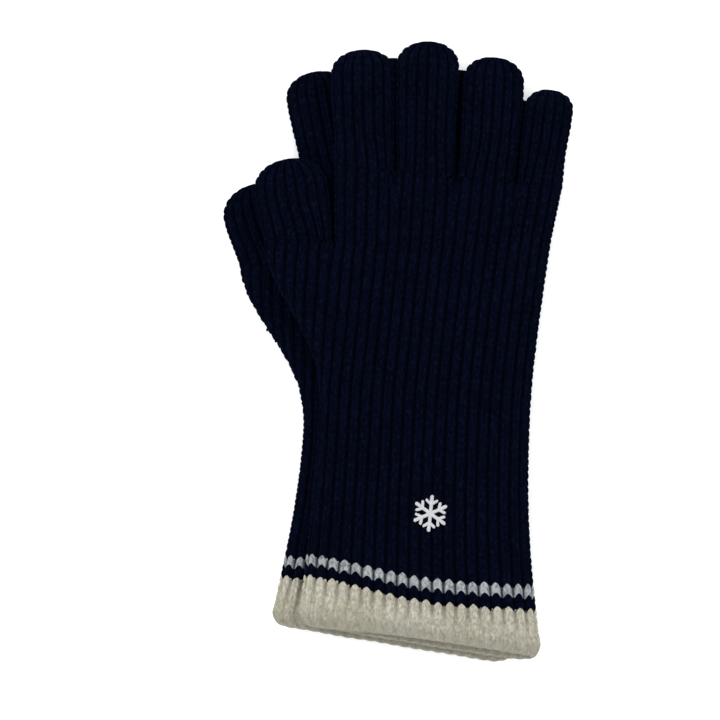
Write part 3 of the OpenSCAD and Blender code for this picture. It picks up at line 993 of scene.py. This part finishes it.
def yarn(slot):
    """The material for one of the record's slots."""
    colours = bpy.context.scene.yarns
    navy, sheen, cream, grey, thread = (
        tuple(getattr(colours, name)) for name in ("navy", "navy_sheen", "cream", "grey", "thread"))
    # Each look: material name, base colour, painted shade colour for valleys and low fuzz, fleck colour (partly
    # painted glints), drift colour, settings.
    looks = {
        "navy_knit": ("navy yarn", navy, tinted(navy, 0.3), sheen, tinted(navy, 0.75, 0.85, 0.7),
                      {"fleck_share": 0.16, "sheen": 0.008, "sheen_tint": (0.1, 0.4, 1.0),
                       "gloss": 0.008}),
        # The grey stripe's painted valley shade is a near-black drawn from the navy.
        "grey_knit": ("light grey yarn", grey, tinted(navy, 8, 7.5, 3), tinted(grey, 1.4),
                      tinted(grey, 0.85),
                      {"valley": 0.95, "relief": 0.9, "pile": 0.5, "fuzz_size": 1.4}),
        "cream_knit": ("cream yarn", cream, tinted(cream, 0.4, 0.4, 0.37),
                       tinted(cream, 1.6, 1.59, 1.56), tinted(cream, 0.9, 0.88, 0.8),
                       {"valley": 0.9, "fades": True, "relief": 1.0, "pile": 0.5, "fuzz_size": 1.2}),
        "white_thread": ("embroidery thread", thread, tinted(thread, 0.8), tinted(thread, 1.2),
                         tinted(thread, 0.93), {"valley": 0.0, "fleck_share": 0.3, "relief": 0.3}),
    }
    *colouring, settings = looks[slot]
    return knit_yarn(*colouring, **settings)


# ---- putting the pieces in the frame

def fit(obj, node, slot):
    """Puts a finished piece in the place of its node: its yarn and its slot. A digit or the upper gauntlet on a
    hinge is baked where it lies, without its body; any other piece rides on its body.
    """
    obj.data.materials.append(yarn(slot))
    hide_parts(node)
    bodies = frame["record"]["behaviour"]["bodies"]
    body = next(name for name, members in bodies.items() if node in members)
    hinge = next((joint for joint in frame["joints"]
                  if joint["child"] == body and joint["type"] == "hinge"), None)
    if hinge and (node.endswith(DIGITS) or node == "right_gauntlet"):
        start, end = crossing_zone(node)
        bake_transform(obj)
    else:
        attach(obj, body)


def crossing_zone(node):
    """The points between which the knit of a digit or of the upper gauntlet would turn with its joint; fit reads
    them, and nothing turns the knit.
    """
    side, name = node.split("_")
    sleeve = glove(side).sleeve
    if name == "gauntlet":
        ends = [(sleeve.edge("left", m) + sleeve.edge("right", m)) / 2
                for m in glove(side).wrist - GAUNTLET_TURN]
    else:
        digit = glove(side).digits[name]
        ends = [digit["root"] + digit["axis"] * v for v in DIGIT_TURN]
    return [(end[0] * MM, end[1] * MM, sleeve.z * MM) for end in ends]


def knit_both(names, slot, make):
    """Knits these pieces of both gloves, the lower glove first."""
    for side in SIDES:
        for name in names:
            obj = make(glove(side), name, bpy.context.scene.knit)
            fit(obj, f"{side}_{name}", slot)
    return {"FINISHED"}


class KnitOperator:
    """What the operators below share."""
    bl_options = {"REGISTER", "UNDO"}


class GLOVES_OT_fingers(KnitOperator, bpy.types.Operator):
    """Knit the four fingers of both gloves"""
    bl_idname = "gloves.fingers"
    bl_label = "Fingers"

    def execute(self, context):
        return knit_both(DIGITS[1:], "navy_knit", knit_digit)


class GLOVES_OT_thumbs(KnitOperator, bpy.types.Operator):
    """Knit the thumbs of both gloves"""
    bl_idname = "gloves.thumbs"
    bl_label = "Thumbs"

    def execute(self, context):
        return knit_both(DIGITS[:1], "navy_knit", knit_digit)


class GLOVES_OT_hands(KnitOperator, bpy.types.Operator):
    """Knit the palms, and the heels with their thumb gussets"""
    bl_idname = "gloves.hands"
    bl_label = "Hands"

    def execute(self, context):
        return knit_both(("palm", "heel"), "navy_knit", knit_hand_piece)


class GLOVES_OT_gauntlets(KnitOperator, bpy.types.Operator):
    """Knit the long cuffs"""
    bl_idname = "gloves.gauntlets"
    bl_label = "Gauntlets"

    def execute(self, context):
        return knit_both(("gauntlet",), "navy_knit", knit_hand_piece)


class GLOVES_OT_stripes(KnitOperator, bpy.types.Operator):
    """Knit the light stripe and the navy stripe under it"""
    bl_idname = "gloves.stripes"
    bl_label = "Stripes"

    def execute(self, context):
        knit_both(("light_stripe",), "grey_knit", knit_hand_piece)
        return knit_both(("navy_stripe",), "navy_knit", knit_hand_piece)


class GLOVES_OT_hems(KnitOperator, bpy.types.Operator):
    """Knit the pale hems with their soft mouths"""
    bl_idname = "gloves.hems"
    bl_label = "Hems"

    def execute(self, context):
        return knit_both(("hem",), "cream_knit", knit_hand_piece)


class GLOVES_OT_emblems(KnitOperator, bpy.types.Operator):
    """Embroider a snowflake on the back of each cuff"""
    bl_idname = "gloves.emblems"
    bl_label = "Emblems"

    def execute(self, context):
        for side in SIDES:
            fit(embroider_flake(side), f"{side}_emblem", "white_thread")
        return {"FINISHED"}


# ---- stage

LIGHTS = (("window_light", (-1.0, 1.0, 1.2), 1.2, 13.0),  # name, place, size in m, power in W
          ("fill_light", (0.8, 0.2, 1.4), 1.4, 5.0))
SKY, SKY_STRENGTH = (0.97, 0.985, 1.0), 1.2


def floor_material(colour):
    """A matt floor that is pale enough for soft shadows to fade out, with a very faint mottle."""
    material, tree, shader = new_material("floor paper")
    where = wire(tree, "ShaderNodeTexCoord", {})
    noise = wire(tree, "ShaderNodeTexNoise", {"Vector": where.outputs["Object"], "Scale": 40.0})
    paper = mixed(tree, noise.outputs[0], colour, tinted(colour, 0.985))
    tree.links.new(paper, shader.inputs["Base Color"])
    constants = {"Roughness": 0.9, "Specular IOR Level": 0.1, "Emission Color": (*colour, 1.0),
                 "Emission Strength": 0.25}
    for socket, value in constants.items():
        shader.inputs[socket].default_value = value
    return material


def soft_light(name, place, aim, size, power):
    """A square light that faces the gloves."""
    bpy.ops.object.select_all(action="DESELECT")
    bpy.ops.object.light_add(type="AREA", location=place)
    light = bpy.context.object
    light.name = name
    light.data.shape = "SQUARE"
    light.data.size = size
    light.data.energy = power
    light.rotation_euler = (Vector(aim) - Vector(place)).to_track_quat("-Z", "Y").to_euler()


class GLOVES_OT_stage(KnitOperator, bpy.types.Operator):
    """Lay the floor, set the lights and the camera"""
    bl_idname = "gloves.stage"
    bl_label = "Stage"

    def execute(self, context):
        stage = context.scene.stage
        bpy.ops.object.select_all(action="DESELECT")
        bpy.ops.mesh.primitive_plane_add(size=8)
        floor = context.object
        floor.name = "floor"
        floor.data.materials.append(floor_material(tuple(stage.floor)))

        middle = Vector(stage.centre) + Vector((0, 0, 2 * HALF * MM))
        for name, place, size, power in LIGHTS:
            soft_light(name, place, middle, size, power * stage.light)
        world = bpy.data.worlds.new("studio")
        world.use_nodes = True
        sky = world.node_tree.nodes["Background"]
        sky.inputs["Color"].default_value = (*SKY, 1.0)
        sky.inputs["Strength"].default_value = SKY_STRENGTH * stage.light
        context.scene.world = world
        context.scene.view_settings.view_transform = "Standard"

        bpy.ops.object.select_all(action="DESELECT")
        place = (middle.x, middle.y, stage.camera_height)
        bpy.ops.object.camera_add(location=place, rotation=(0, 0, 0))
        camera = context.object
        camera.name = "camera"
        distance = stage.camera_height - middle.z
        camera.data.lens = camera.data.sensor_width * distance / stage.frame_width
        context.scene.camera = camera
        return {"FINISHED"}


# ---- panel and registration

STEPS = ("fingers", "thumbs", "hands", "gauntlets", "stripes", "hems", "emblems", "stage")


class GLOVES_PT_panel(bpy.types.Panel):
    """The pieces of the gloves, and their settings"""
    bl_idname = "GLOVES_PT_panel"
    bl_label = "Gloves"
    bl_space_type = "VIEW_3D"
    bl_region_type = "UI"
    bl_category = "Gloves"

    def draw(self, context):
        for step in STEPS:
            self.layout.operator(f"gloves.{step}")
        for group in ("knit", "yarns", "stage"):
            settings = getattr(context.scene, group)
            box = self.layout.box()
            for name in settings.__annotations__:
                box.prop(settings, name)


GROUPS = {"knit": KnitSettings, "yarns": YarnColours, "stage": StageSettings}
CLASSES = (KnitSettings, YarnColours, StageSettings, GLOVES_OT_fingers, GLOVES_OT_thumbs,
           GLOVES_OT_hands, GLOVES_OT_gauntlets, GLOVES_OT_stripes, GLOVES_OT_hems,
           GLOVES_OT_emblems, GLOVES_OT_stage, GLOVES_PT_panel)


def register():
    for cls in CLASSES:
        bpy.utils.register_class(cls)
    for name, group in GROUPS.items():
        setattr(bpy.types.Scene, name, bpy.props.PointerProperty(type=group))


def unregister():
    for name in GROUPS:
        delattr(bpy.types.Scene, name)
    for cls in reversed(CLASSES):
        bpy.utils.unregister_class(cls)


def main():
    register()
    for step in STEPS:
        getattr(bpy.ops.gloves, step)()


if __name__ == "__main__":
    main()
